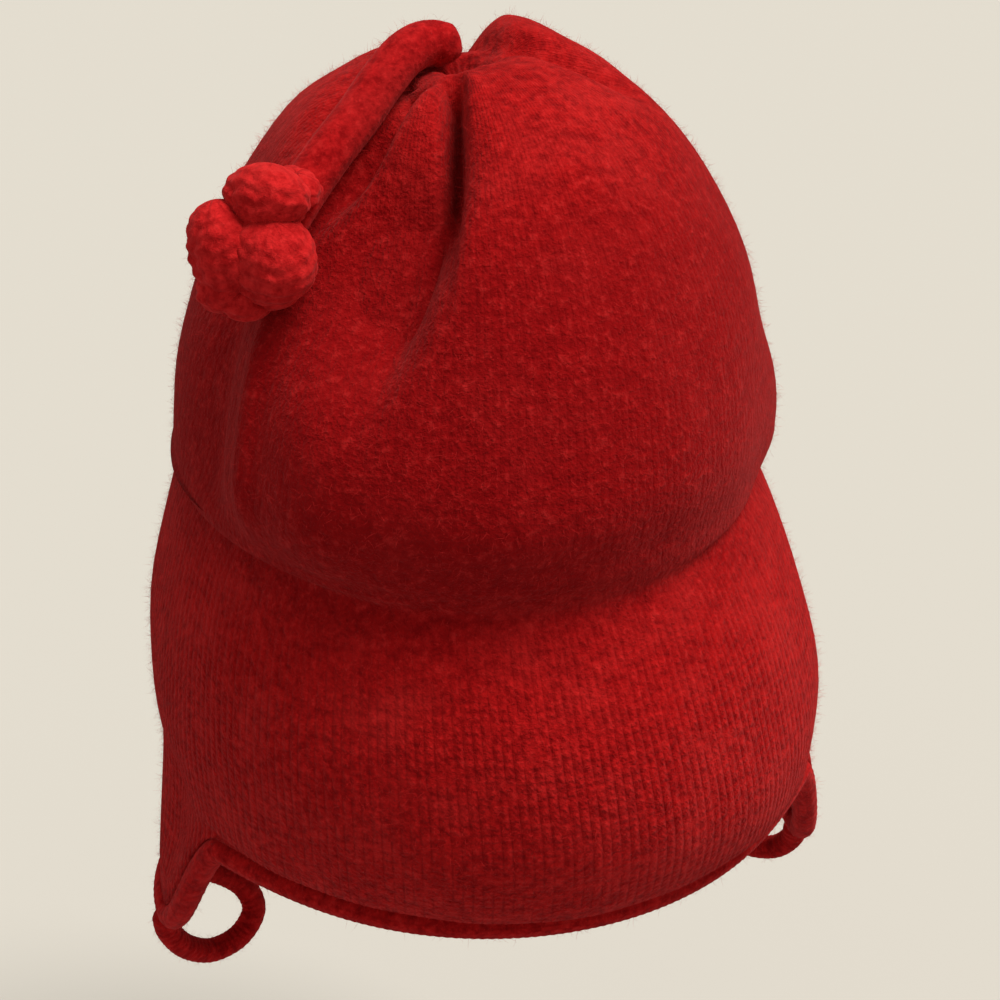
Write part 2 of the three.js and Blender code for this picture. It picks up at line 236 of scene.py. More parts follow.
# Heights between which the stitches go under the felt, the loops turn into a mat, and the
# painted shade that darkens the crown comes and goes
STITCHES_END = (0.055, 0.09)
LOOPS_MATTED = (0.055, 0.1)
PAINTED_SHADE_COMES = (0.075, 0.106)
PAINTED_SHADE_GOES = (0.162, 0.198)

# A fibre a metre long: the place of each ring and its share of FIBRE_REACH, the tip, and half
# the thickness at the root
FIBRE_RINGS = [(0, 0, 0, 1), (0.12, 0, 0.5, 0.8)]
FIBRE_TIP = (0.42, 0.05, 0.92)
FIBRE_REACH = 0.008
# Most lean of a fibre about its three axes, in radians, and the range of its length, as shares
# of its haze's length
FIBRE_LEAN = (1.3, 1.3, 3.1)
FIBRE_LENGTHS = (0.35, 1.3)
# The haze on each piece: fibres for each square metre, their length and the seed
HAZES = {
    "band_fibres": (330000, 0.0025, 3),
    "crown_fibres": (350000, 0.0025, 9),
    "edge_fibres": (300000, 0.0024, 4),
    "left_loop_fibres": (500000, 0.0022, 5),
    "right_loop_fibres": (500000, 0.0022, 6),
    "tail_fibres": (400000, 0.0024, 7),
    "knot_fibres": (200000, 0.0022, 8),
}
# The plain grid that the cap's fibres grow on, and the section that they reach
SKIN_COLUMNS = 180
SKIN_ROWS = 41
SKIN_END = 13

# The floor, the soft key light and the room's light, and how bright the room is to the camera
FLOOR_HEIGHT = -0.2
FLOOR_REACH = 8
FLOOR_COLOUR = (0.58, 0.555, 0.5, 1)
SUN_STRENGTH = 3.2
SUN_WIDTH = 30
SUN_COLOUR = (1, 0.975, 0.94)
SUN_DIRECTION = (-0.46, 0.12, -1)
ROOM_COLOUR = (0.95, 0.93, 0.88, 1)
ROOM_LIGHT = 0.44
ROOM_SEEN = 0.78


def add_camera():
    azimuth = math.radians(CAMERA_AZIMUTH)
    elevation = math.radians(CAMERA_ELEVATION)
    reach = math.cos(elevation) * CAMERA_DISTANCE
    rise = math.sin(elevation) * CAMERA_DISTANCE
    offset = Vector((math.sin(azimuth) * reach, -math.cos(azimuth) * reach, rise))
    camera = bpy.data.objects.new("camera", bpy.data.cameras.new("camera"))
    camera.location = CAMERA_TARGET + offset
    camera.rotation_euler = (-offset).to_track_quat("-Z", "Y").to_euler()
    camera.data.lens = CAMERA_LENS
    camera.data.sensor_width = CAMERA_SENSOR
    camera.data.shift_x, camera.data.shift_y = CAMERA_SHIFT
    bpy.context.scene.collection.objects.link(camera)
    bpy.context.scene.camera = camera


# The cap's form


def section_rows():
    """Height, half width, front, back, lean and drop of each section, in metres."""
    half_band, half_crown = BAND_WIDTH / 2, CROWN_WIDTH / 2
    band = (BAND_HEIGHT, half_band, BAND_DEPTH / 2, BAND_DEPTH / 2, half_band, BAND_HEIGHT)
    crown = (CROWN_HEIGHT, half_crown, CROWN_DEPTH / 2, CROWN_DEPTH / 2, half_crown, BAND_HEIGHT)
    rows = [[share * size for share, size in zip(row, band)] for row in BAND_SECTIONS]
    for row in CROWN_SECTIONS:
        sizes = [share * size for share, size in zip(row, crown)]
        sizes[0] += BAND_HEIGHT
        rows.append(sizes)
    return np.array(rows)


SECTIONS = section_rows()
LAST_SECTION = len(SECTIONS) - 1
HEM_HALF_WIDTH = SECTIONS[0][1]


def eased(x):
    x = np.clip(x, 0, 1)
    return x * x * (3 - 2 * x)


def wrapped(degrees):
    return (degrees + 180) % 360 - 180


def catmull_rom(a, b, c, d, t):
    linear = (c - a) * t
    square = (2 * a - 5 * b + 4 * c - d) * t ** 2
    cube = (3 * b - a - 3 * c + d) * t ** 3
    return (2 * b + linear + square + cube) / 2


def section_at(s):
    """The section at any height, between the rows of the tables."""
    s = np.asarray(s, float)
    i = np.clip(np.floor(s), 0, LAST_SECTION - 1).astype(int)
    t = (s - i)[..., None]
    here = SECTIONS[i]
    following = SECTIONS[i + 1]
    first = (i == 0)[..., None]
    last = (i == LAST_SECTION - 1)[..., None]
    before = np.where(first, 2 * here - following, SECTIONS[np.maximum(i - 1, 0)])
    after = np.where(last, 2 * following - here, SECTIONS[np.minimum(i + 2, LAST_SECTION)])
    return np.moveaxis(catmull_rom(before, here, following, after, t), -1, 0)


def flap_drop(azimuth):
    drop = 0
    for middle in (-FLAP_AZIMUTH, FLAP_AZIMUTH):
        across = np.abs(np.radians(wrapped(azimuth - middle))) * HEM_HALF_WIDTH
        drop = drop + FLAP_LENGTH * eased((FLAP_WIDTH / 2 - across) / (FLAP_WIDTH / 2 - FLAP_TIP / 2))
    return drop


def flare(azimuth, s):
    left = LEFT_FLARE * np.exp(-((wrapped(azimuth + FLARE_AZIMUTH) / FLARE_SPREAD) ** 2))
    right = RIGHT_FLARE * np.exp(-((wrapped(azimuth - FLARE_AZIMUTH) / FLARE_SPREAD) ** 2))
    return (left + right) * eased((FLARE_SECTION - s) / FLARE_SECTION)


def smooth_point(azimuth, s):
    """The cap's outer face without its folds."""
    azimuth, s = np.broadcast_arrays(np.asarray(azimuth, float), np.asarray(s, float))
    height, _, _, _, lean, drop = section_at(s)
    below_first = np.clip(s, 0, 1)
    _, half, front, back, _, _ = section_at(np.where(s < 1, below_first ** HEM_TURN, s))
    angle = np.radians(azimuth)
    forward = np.cos(angle)
    out = flare(azimuth, s)
    depth = np.where(forward > 0, front, back) + out
    below = np.clip(1 - s / FLAP_SECTION, 0, 1)
    x = (half + out) * np.sin(angle) + lean
    y = -depth * forward
    z = height + (EDGE_CORD + SEAT_GAP) * below - flap_drop(azimuth) * below ** FLAP_CURVE
    return np.stack([x, y, z - drop * np.maximum(forward, 0)], axis=-1)


def unit(vectors):
    return vectors / np.linalg.norm(vectors, axis=-1, keepdims=True)


def outward(azimuth, s):
    """The direction out of the smooth face."""
    turn, rise = 0.5, 0.02
    across = smooth_point(azimuth + turn, s) - smooth_point(azimuth - turn, s)
    higher = smooth_point(azimuth, np.minimum(s + rise, LAST_SECTION))
    lower = smooth_point(azimuth, np.maximum(s - rise, 0))
    return unit(np.cross(across, higher - lower))


def fold_depth(azimuth, s, radius):
    half_crown = CROWN_WIDTH / 2
    reach = np.maximum(radius, FOLD_LEAST_RADIUS * half_crown)
    depth = 0
    for low, high, first, last, fade_in, fade_out, left, right, rise in FOLDS.values():
        share = np.clip((s - first) / (last - first), 0, 1)
        away = wrapped(azimuth - low - (high - low) * share)
        half_width = np.where(away < 0, left, right) * half_crown
        fade = eased((s - first) / fade_in) * eased((last - s) / fade_out)
        off = np.radians(away) * reach / half_width
        depth = depth + rise * half_crown * fade * np.exp(-(off ** 2))
    return depth


def slack(azimuth, s):
    """The soft unevenness of worn felt, a few tenths of a millimetre."""
    angle = np.radians(azimuth)
    long_waves = np.sin(5 * angle + 1.1 * s + 0.6) * np.sin(1.9 * s + 2 * angle)
    short_waves = np.sin(13 * angle - 1.7 * s) * np.sin(3.1 * s + 7 * angle + 1)
    waves = LONG_WAVES * long_waves + SHORT_WAVES * short_waves
    return waves * eased(np.abs(s - WAIST_SECTION) / WAVE_RISE - WAVE_CALM)


def cap_point(azimuth, s, inset):
    """Points of the cap, inset 0 on its outer face."""
    point = smooth_point(azimuth, s)
    lean = section_at(s)[4]
    radius = np.hypot(point[..., 0] - lean, point[..., 1])
    depth = fold_depth(azimuth, s, radius) + slack(azimuth, s) - inset
    return point + outward(azimuth, s) * depth[..., None]


# Meshes


def ring_faces(rows, columns, start=0):
    """Quads between rings that close on themselves, each ring a run of points."""
    row, column = np.meshgrid(np.arange(rows - 1), np.arange(columns), indexing="ij")
    following = (column + 1) % columns
    here, there = start + row * columns, start + (row + 1) * columns
    quads = np.stack([here + column, here + following, there + following, there + column], -1)
    return quads.reshape(-1, 4)


def make_piece(name, points, faces, uvs, finish):
    """A mesh object from points, faces and a place on the knit for each corner of a face."""
    mesh = bpy.data.meshes.new(name)
    mesh.from_pydata(points.tolist(), [], [list(face) for face in faces])
    layer = mesh.uv_layers.new(name="knit")
    corners = np.concatenate([np.asarray(uv, float).reshape(-1, 2) for uv in uvs])
    layer.data.foreach_set("uv", corners.ravel())
    mesh.materials.append(finish)
    mesh.shade_smooth()
    piece = bpy.data.objects.new(name, mesh)
    bpy.context.scene.collection.objects.link(piece)
    return piece


def grid_uvs(rows, columns, u_of_column, v_of_point):
    """The corners' places for ring_faces: u by column, unbroken over the seam, v by point."""
    row, column = np.meshgrid(np.arange(rows - 1), np.arange(columns), indexing="ij")
    u0, u1 = u_of_column[column], u_of_column[column + 1]
    following = (column + 1) % columns
    v = [v_of_point[row, column], v_of_point[row, following]]
    v += [v_of_point[row + 1, following], v_of_point[row + 1, column]]
    corners = [np.stack([u, w], -1) for u, w in zip((u0, u1, u1, u0), v)]
    return np.stack(corners, axis=2).reshape(-1, 4, 2)


def run_lengths(points):
    """Lengths along the rows of a grid of points, from its first row."""
    steps = np.linalg.norm(np.diff(points, axis=0), axis=-1)
    return np.concatenate([np.zeros((1, points.shape[1])), np.cumsum(steps, axis=0)])


def row_heights(spans):
    parts = [np.linspace(low, high, count, endpoint=False) for low, high, count in spans]
    return np.concatenate([*parts, [spans[-1][1]]])


def cap_knit(finish):
    columns = WALES * COLUMNS_PER_WALE
    azimuth = np.arange(columns) * 360 / columns - 180
    u = np.arange(columns + 1) / COLUMNS_PER_WALE
    outer_rows, inner_rows = row_heights(OUTER_ROWS), row_heights(INNER_ROWS)
    outer = cap_point(azimuth[None, :], outer_rows[:, None], 0)
    lean = section_at(outer_rows)[4][:, None]
    pitch = 2 * math.pi * np.hypot(outer[..., 0] - lean, outer[..., 1]) / WALES
    clear = eased((RIB_END - outer_rows) / RIB_FADE)[:, None]
    wide = eased((pitch - RIB_LEAST_PITCH) / RIB_PITCH_FADE)
    rib = RIB_DEPTH * clear * np.cos(2 * math.pi * u[:-1])[None, :] * wide
    outer = outer + outward(azimuth[None, :], outer_rows[:, None]) * rib[..., None]
    inner = cap_point(azimuth[None, :], inner_rows[:, None], WALL)
    courses = run_lengths(outer) / COURSE
    inner_courses = run_lengths(inner) / COURSE

    outer_count = outer.shape[0] * columns
    top, inner_top = outer[-1].mean(0), inner[-1].mean(0)
    points = np.concatenate([outer.reshape(-1, 3), inner.reshape(-1, 3), [top], [inner_top]])
    around = np.arange(columns)
    following = (around + 1) % columns
    hem = np.stack([following, around, outer_count + around, outer_count + following], -1)
    inner_faces = ring_faces(inner.shape[0], columns, outer_count)[:, ::-1]
    faces = [*ring_faces(outer.shape[0], columns), *inner_faces, *hem]
    uvs = [
        grid_uvs(outer.shape[0], columns, u, courses),
        grid_uvs(inner.shape[0], columns, u, inner_courses)[:, ::-1],
        np.stack([np.stack([u[1:], 0 * around], -1), np.stack([u[:-1], 0 * around], -1)] * 2, axis=1),
    ]
    for pole, first, high, turned in (
        (len(points) - 2, outer_count - columns, courses[-1], False),
        (len(points) - 1, len(points) - 2 - columns, inner_courses[-1], True),
    ):
        fan = np.stack([first + around, first + following, np.full(columns, pole)], -1)
        corners = ((u[:-1], high), (u[1:], high[following]), (u[:-1], high + 1))
        fan_uv = np.stack([np.stack(corner, -1) for corner in corners], axis=1)
        faces += [*(fan[:, ::-1] if turned else fan)]
        uvs.append(fan_uv[:, ::-1] if turned else fan_uv)
    return make_piece("cap_knit", points, faces, uvs, finish)


def edge_knit(finish):
    """The knitted cord that edges the hem and the flaps, its stitches in line with the ribs."""
    columns, sides = WALES * COLUMNS_PER_WALE, EDGE_SIDES
    azimuth = np.arange(columns) * 360 / columns - 180
    out = outward(azimuth, 0)
    along = unit(smooth_point(azimuth + 0.5, 0) - smooth_point(azimuth - 0.5, 0))
    below = unit(np.cross(along, out))
    centre = smooth_point(azimuth, 0) - out * WALL / 2 + below * (EDGE_CORD / 2 + SEAT_GAP / 2)
    around = np.arange(sides) * 2 * math.pi / sides
    u = np.arange(columns + 1) / COLUMNS_PER_WALE
    stitches = np.cos(2 * math.pi * (u[:-1, None] + 0.5 * np.cos(around)[None, :]))
    reach = EDGE_CORD / 2 * (EDGE_FULLNESS + EDGE_RELIEF * stitches)
    cosine, sine = np.cos(around)[None, :, None], np.sin(around)[None, :, None]
    ring = out[:, None] * cosine + below[:, None] * sine
    points = centre[:, None] + ring * reach[..., None]
    closed = np.concatenate([points, points[:1]])
    faces = ring_faces(columns + 1, sides) % (columns * sides)
    sides_u = np.arange(sides + 1) / sides * EDGE_WALES
    v = np.repeat(u[:, None], sides, axis=1)
    uvs = grid_uvs(closed.shape[0], sides, sides_u, v)
    return make_piece("edge_knit", points.reshape(-1, 3), faces, [uvs], finish)


def smooth_route(route, steps):
    """Points along a smooth curve through the route's points."""
    points = np.array(route)
    ends = np.concatenate([[2 * points[0] - points[1]], points, [2 * points[-1] - points[-2]]])
    place = np.linspace(0, len(points) - 1, steps)
    i = np.minimum(place.astype(int), len(points) - 2)
    t = (place - i)[:, None]
    return catmull_rom(ends[i], ends[i + 1], ends[i + 2], ends[i + 3], t)


def tube_frames(path):
    """Two directions across the path at each of its points, turning as little as they can."""
    along = unit(np.gradient(path, axis=0))
    side = np.cross(along[0], (0, 0, 1))
    if np.linalg.norm(side) < 0.2:
        side = np.cross(along[0], (0, 1, 0))
    sides = []
    for direction in along:
        side = side - direction * np.dot(side, direction)
        side = side / np.linalg.norm(side)
        sides.append(side)
    sides = np.array(sides)
    return sides, np.cross(along, sides)


def tube(path, sides, reach_at):
    """Points and faces of a closed tube; reach_at gives its radius by length and angle."""
    lengths = np.concatenate([[0], np.cumsum(np.linalg.norm(np.diff(path, axis=0), axis=1))])
    first, second = tube_frames(path)
    around = np.arange(sides) * 2 * math.pi / sides
    reach = reach_at(lengths[:, None], around[None, :])
    cosine, sine = np.cos(around)[None, :, None], np.sin(around)[None, :, None]
    ring = first[:, None] * cosine + second[:, None] * sine
    points = path[:, None] + ring * reach[..., None]
    rows = len(path)
    faces = [*ring_faces(rows, sides)]
    v = np.repeat(lengths[:, None], sides, axis=1)
    uvs = [grid_uvs(rows, sides, np.arange(sides + 1) / sides, v)]
    k = np.arange(sides)
    following = (k + 1) % sides
    count = rows * sides
    faces += [*np.stack([following, k, np.full(sides, count)], -1)]
    faces += [*np.stack([count - sides + k, count - sides + following, np.full(sides, count + 1)], -1)]
    cap_uv = np.stack([np.stack([k / sides, 0 * k], -1)] * 3, axis=1)
    uvs += [cap_uv, cap_uv + (0, lengths[-1])]
    return np.concatenate([points.reshape(-1, 3), path[:1], path[-1:]]), faces, uvs, lengths[-1]


def knitted_cord(name, route, diameter, wales, finish, steps, sides, relief, rounding,
                 root=0):
    """A free cord of knit: its stitch columns run along it and are slanted row by row. The mesh goes
    on for root at each end, into the edging that the cord is sewn to."""
    path = smooth_route(route, steps)

    def reach_at(length, angle):
        ribs = np.cos(wales * angle)
        rows = np.cos(2 * math.pi * (length / COURSE + 0.5 * np.abs(np.sin(wales * angle / 2))))
        nose = np.sqrt(np.clip(length / rounding, 0.04, 1))
        return diameter / 2 * nose * (0.98 + relief * ribs + 0.8 * relief * rows)

    first, last = unit(path[0] - path[1]) * root, unit(path[-1] - path[-2]) * root
    rooted = np.concatenate([[path[0] + first], path, [path[-1] + last]]) if root else path
    points, faces, uvs, length = tube(rooted, sides, reach_at)
    scaled = [uv * (wales, 1 / COURSE) for uv in uvs]
    piece = make_piece(name, points, faces, scaled, finish)
    return piece, path, length - 2 * root


def knot_middle():
    return np.array(TAIL_ROUTE[-1]) + np.array(KNOT_OFFSET) * KNOT_SIZE


def tail_yarn(finish):
    """The knot: fat lobes of the tail's own soft knit, drawn tight into each other."""
    rng = np.random.default_rng(7)
    all_points, all_faces, all_uvs = [], [], []
    for x, y, z, across, tall, wales in KNOT_LOBES.values():
        middle = knot_middle() + np.array((x, y, z)) * KNOT_SIZE
        wide, high = across * KNOT_SIZE, tall * KNOT_SIZE
        tilt = rng.uniform(-LOBE_TILT, LOBE_TILT, 2)
        turn = np.array(Matrix.Rotation(tilt[0], 3, "Y") @ Matrix.Rotation(tilt[1], 3, "X"))
        latitudes = np.linspace(-math.pi / 2, math.pi / 2, LOBE_ROWS)
        path = middle + np.sin(latitudes)[:, None] * (turn @ np.array((0, 0, high)))
        lumps = rng.uniform(0, 2 * math.pi, 3)

        def reach_at(length, angle):
            share = np.clip(length / high - 1, -1, 1)
            latitude = np.arcsin(share)
            place = angle * wales / (2 * math.pi) + 0.25 * np.sin(3 * latitude + lumps[0])
            from_wale = np.abs(2 * (place % 1) - 1)
            rows = np.cos(2 * math.pi * (latitude * high / KNOT_COURSE + 0.45 * from_wale))
            worn = 0.5 + 0.5 * np.sin(3 * angle + lumps[1]) * np.cos(4 * latitude + lumps[2])
            stitches = KNOT_RELIEF * (0.4 + 0.6 * worn) * (0.6 - from_wale ** 2 + 0.4 * rows)
            soft = LOBE_UNEVENNESS * np.sin(2 * angle + lumps[1]) * np.cos(2 * latitude + lumps[2])
            return wide * np.sqrt(1 - share ** 2) * (1 + soft) + stitches * np.cos(latitude)

        points, faces, uvs, _ = tube(path, LOBE_COLUMNS, reach_at)
        start = sum(len(p) for p in all_points)
        all_points.append(points)
        all_faces.extend([face + start for face in faces])
        all_uvs.extend(uv * (wales, 1 / KNOT_COURSE) for uv in uvs)
    points = np.concatenate(all_points)
    return make_piece("tail_yarn", points, all_faces, all_uvs, finish)


# Finishes


class Socket:
    """A value of a material's nodes; Python's operators on it add Math nodes."""

    def __init__(self, finish, link):
        self.finish, self.link = finish, link

    def _with(self, operation, *values):
        node = self.finish.node("ShaderNodeMath", {"operation": operation}, dict(enumerate(values)))
        return Socket(self.finish, node.outputs[0])

    def __add__(self, other):
        return self._with("ADD", self, other)

    def __radd__(self, other):
        return self._with("ADD", other, self)

    def __sub__(self, other):
        return self._with("SUBTRACT", self, other)

    def __rsub__(self, other):
        return self._with("SUBTRACT", other, self)

    def __mul__(self, other):
        return self._with("MULTIPLY", self, other)

    def __rmul__(self, other):
        return self._with("MULTIPLY", other, self)

    def __abs__(self):
        return self._with("ABSOLUTE", self)

    def __pow__(self, other):
        return self._with("POWER", self, other)

    def fraction(self):
        return self._with("FRACT", self)

    def cosine(self):
        return self._with("COSINE", self)

    def between(self, low, high):
        """0 below low, 1 above high, smooth between."""
        settings = {"interpolation_type": "SMOOTHSTEP"}
        values = {"Value": self, "From Min": low, "From Max": high}
        node = self.finish.node("ShaderNodeMapRange", settings, values)
        return Socket(self.finish, node.outputs[0])


class Finish:
    """A material and the nodes that it is made of."""

    def __init__(self, name):
        self.material = bpy.data.materials.new(name)
        self.material.use_nodes = True
        self.tree = self.material.node_tree
        self.tree.nodes.clear()

    def node(self, kind, settings=None, values=None):
        """A node with its settings, then the values or links of its sockets."""
        node = self.tree.nodes.new(kind)
        for name, value in (settings or {}).items():
            setattr(node, name, value)
        for name, value in (values or {}).items():
            if isinstance(value, Socket):
                self.tree.links.new(value.link, node.inputs[name])
            else:
                node.inputs[name].default_value = value
        return node

    def out(self, node, name=0):
        return Socket(self, node.outputs[name])

    def places(self):
        """Where a point is on the object and on the knit, its stitch column and row and its height."""
        coordinates = self.node("ShaderNodeTexCoord")
        knit = self.node("ShaderNodeUVMap", {"uv_map": "knit"})
        place = self.out(coordinates, "Object")
        parts = self.node("ShaderNodeSeparateXYZ", None, {0: self.out(knit)})
        height = self.out(self.node("ShaderNodeSeparateXYZ", None, {0: place}), 2)
        return place, self.out(knit), self.out(parts, 0), self.out(parts, 1), height

    def noise(self, vector, scale, detail=3, roughness=0.6):
        values = {"Vector": vector, "Scale": scale, "Detail": detail, "Roughness": roughness}
        return self.out(self.node("ShaderNodeTexNoise", None, values), 0)

    def mix(self, factor, first, second):
        settings = {"data_type": "RGBA", "clamp_factor": True}
        node = self.node("ShaderNodeMix", settings, {0: factor, 6: first, 7: second})
        return Socket(self, node.outputs[2])

    def surface(self, colour, height, depth, roughness, sheen, sheen_tint):
        bump = self.node("ShaderNodeBump", None, {"Strength": 1, "Distance": depth, "Height": height})
        values = {
            "Base Color": colour, "Roughness": roughness, "Normal": self.out(bump),
            "Specular IOR Level": 0.04, "Sheen Weight": sheen, "Sheen Roughness": 0.45,
            "Sheen Tint": sheen_tint,
        }
        shader = self.node("ShaderNodeBsdfPrincipled", None, values)
        output = self.node("ShaderNodeOutputMaterial")
        self.tree.links.new(shader.outputs[0], output.inputs[0])
        return self.material


def wool_finish(name, deep, middle, pale, stitch, felt, depth, crown_stitch=1, crown_painted_shade=0.0):
    """Felted wool knit: stitches that show through a mat of fibres, mottled in the wool's reds, with
    painted shade in the grooves between the ribs and in the felt's pits. crown_stitch is how much of
    the stitches is left above the band, and the last argument how much painted shade darkens the
    crown."""
    finish = Finish(name)
    place, stitches, wale, course, z = finish.places()
    across = abs((wale + 0.5).fraction() * 2 - 1)
    rows = ((course + across * 0.6) * (2 * math.pi)).cosine() * 0.5 + 0.5
    ribs = 1 - across ** 2
    mat = finish.noise(place, MAT_SCALE, 3, 0.7)
    tufts = finish.noise(place, TUFT_SCALE, 4, 0.65)
    drawn = finish.noise(stitches, DRAWN_SCALE, 4, 0.65)
    matted = finish.noise(place, MATTED_SCALE, 4, 0.65)
    loops = drawn + (matted - drawn) * z.between(*LOOPS_MATTED)
    patches = finish.noise(place, PATCH_SCALE, 3, 0.6)
    clouds = finish.noise(place, CLOUD_SCALE, 3, 0.5)
    clear = (1 - (1 - crown_stitch) * z.between(*STITCHES_END)) * patches.between(0.36, 0.58)
    # Painted shade: the grooves between the ribs, where the stitches show, are darkened towards the
    # deep red
    groove_shade = across.between(0.6, 1) * clear * tufts.between(0.3, 0.55)
    knit = ribs * (0.55 + 0.45 * rows) * (0.25 + 0.75 * clear)
    height = knit * stitch + (mat * 0.6 + tufts + loops) * felt
    tone = TUFT_SHARE * tufts.between(0.34, 0.64) + LOOP_SHARE * loops.between(0.36, 0.62)
    tone = tone + MAT_SHARE * mat.between(0.35, 0.65)
    body = finish.mix(tone, (*deep, 1), (*middle, 1))
    cloudy = finish.mix(clouds.between(0.4, 0.75) * CLOUD_TONE, body, (*pale, 1))
    # Painted shade: between these heights the crown's red is darkened all round towards the deep red,
    # standing in for the shade on the crown's front and in its dent
    painted_shade_mask = z.between(*PAINTED_SHADE_COMES) * (1 - z.between(*PAINTED_SHADE_GOES))
    shaded = finish.mix(painted_shade_mask * crown_painted_shade, cloudy, (*deep, 1))
    # Painted shade in the grooves between the ribs
    groove_shaded = finish.mix(groove_shade * (1.2 * stitch), shaded, (*deep, 1))
    # Painted shade: the felt's pits, the low places of its bump, are darkened towards the deep red
    pit_shaded = finish.mix((1 - loops.between(0.34, 0.46)) * PIT_SHADE, groove_shaded, (*deep, 1))
    tufted = finish.mix(loops.between(0.54, 0.68) * TUFT_TONE, pit_shaded, (*pale, 1))
    colour = finish.mix(mat.between(0.58, 0.74) * FLECK_TONE, tufted, (*pale, 1))
    return finish.surface(colour, height, depth, roughness=0.95, sheen=0.2, sheen_tint=WOOL_SHEEN_TINT)


def fibre_finish(name, colour):
    finish = Finish(name)
    place = finish.places()[0]
    tone = finish.noise(place, FIBRE_SCALE, 2)
    mixed = finish.mix(tone, (*colour, 1), tuple(0.7 * c for c in colour) + (1,))
    return finish.surface(mixed, tone, 0.0001, roughness=0.8, sheen=0.05, sheen_tint=FIBRE_SHEEN_TINT)


# The haze of loose fibres


def fibre_mesh():
    """One bent wool fibre a metre long along +Z, three sided, for scaling down."""
    points = []
    for x, y, z, share in FIBRE_RINGS:
        for k in range(3):
            angle = 2 * math.pi * k / 3
            reach = FIBRE_REACH * share
            points.append((x + reach * math.cos(angle), y + reach * math.sin(angle), z))
    points.append(FIBRE_TIP)
    faces = [(2, 1, 0)]
    for k in range(3):
        following = (k + 1) % 3
        faces.append((k, following, 3 + following, 3 + k))
        faces.append((3 + k, 3 + following, 6))
    mesh = bpy.data.meshes.new("fibre")
    mesh.from_pydata(points, [], faces)
    return bpy.data.objects.new("fibre", mesh)


def fibre_tree(fibre, finish):
    """A node tree that sets fibres at random over a surface."""
    tree = bpy.data.node_groups.new("fibre_haze", "GeometryNodeTree")
    tree.interface.new_socket("Surface", in_out="INPUT", socket_type="NodeSocketGeometry")
    for name, kind in (("Density", "Float"), ("Length", "Float"), ("Seed", "Int")):
        tree.interface.new_socket(name, in_out="INPUT", socket_type="NodeSocket" + kind)
    tree.interface.new_socket("Haze", in_out="OUTPUT", socket_type="NodeSocketGeometry")
    new, link = tree.nodes.new, tree.links.new
    given, result = new("NodeGroupInput"), new("NodeGroupOutput")
    scatter = new("GeometryNodeDistributePointsOnFaces")
    link(given.outputs["Surface"], scatter.inputs["Mesh"])
    link(given.outputs["Density"], scatter.inputs["Density"])
    link(given.outputs["Seed"], scatter.inputs["Seed"])
    source = new("GeometryNodeObjectInfo")
    source.inputs["Object"].default_value = fibre
    lean = new("FunctionNodeRandomValue")
    lean.data_type = "FLOAT_VECTOR"
    lean.inputs[0].default_value = [-most for most in FIBRE_LEAN]
    lean.inputs[1].default_value = FIBRE_LEAN
    link(given.outputs["Seed"], lean.inputs["Seed"])
    turn = new("FunctionNodeRotateRotation")
    turn.rotation_space = "LOCAL"
    link(scatter.outputs["Rotation"], turn.inputs[0])
    link(lean.outputs[0], turn.inputs[1])
    size = new("FunctionNodeRandomValue")
    size.data_type = "FLOAT"
    size.inputs[2].default_value, size.inputs[3].default_value = FIBRE_LENGTHS
    link(given.outputs["Seed"], size.inputs["Seed"])
    scale = new("ShaderNodeMath")
    scale.operation = "MULTIPLY"
    link(size.outputs[1], scale.inputs[0])
    link(given.outputs["Length"], scale.inputs[1])
    place = new("GeometryNodeInstanceOnPoints")
    link(scatter.outputs["Points"], place.inputs["Points"])
    link(source.outputs["Geometry"], place.inputs["Instance"])
    link(turn.outputs[0], place.inputs["Rotation"])
    link(scale.outputs[0], place.inputs["Scale"])
    realize = new("GeometryNodeRealizeInstances")
    link(place.outputs[0], realize.inputs[0])
    paint = new("GeometryNodeSetMaterial")
    paint.inputs["Material"].default_value = finish
    link(realize.outputs[0], paint.inputs[0])
    link(paint.outputs[0], result.inputs[0])
    return tree


def cap_skin(name, low, high):
    """A plain grid over the cap's outer face between two sections, for fibres to grow on."""
    azimuth = np.linspace(-180, 180, SKIN_COLUMNS + 1)[:-1]
    rows = np.linspace(low, high, SKIN_ROWS)
    points = cap_point(azimuth[None, :], rows[:, None], 0)
    mesh = bpy.data.meshes.new(name)
    mesh.from_pydata(points.reshape(-1, 3).tolist(), [], ring_faces(SKIN_ROWS, SKIN_COLUMNS).tolist())
    return mesh


def fibre_haze(name, surface, tree):
    """Loose fibres on a surface, as a plain mesh of its own."""
    piece = bpy.data.objects.new(name, surface.copy())
    bpy.context.scene.collection.objects.link(piece)
    modifier = piece.modifiers.new("haze", "NODES")
    modifier.node_group = tree
    values = dict(zip(("Density", "Length", "Seed"), HAZES[name]))
    for item in tree.interface.items_tree:
        if item.name in values:
            modifier[item.identifier] = values[item.name]
    evaluated = piece.evaluated_get(bpy.context.evaluated_depsgraph_get())
    mesh = bpy.data.meshes.new_from_object(evaluated)
    piece.modifiers.clear()
    piece.data = mesh
    return piece


# The floor and the light


def add_floor():
    mesh = bpy.data.meshes.new("floor")
    reach = FLOOR_REACH
    corners = [(-reach, -reach), (reach, -reach), (reach, reach), (-reach, reach)]
    mesh.from_pydata([(x, y, FLOOR_HEIGHT) for x, y in corners], [], [(0, 1, 2, 3)])
    floor = bpy.data.objects.new("floor", mesh)
    finish = Finish("floor_paint")
    shader = finish.node("ShaderNodeBsdfPrincipled", None, {
        "Base Color": FLOOR_COLOUR, "Roughness": 0.9, "Specular IOR Level": 0.1,
    })
    output = finish.node("ShaderNodeOutputMaterial")
    finish.tree.links.new(shader.outputs[0], output.inputs[0])
    mesh.materials.append(finish.material)
    floor.visible_diffuse = False
    bpy.context.scene.collection.objects.link(floor)


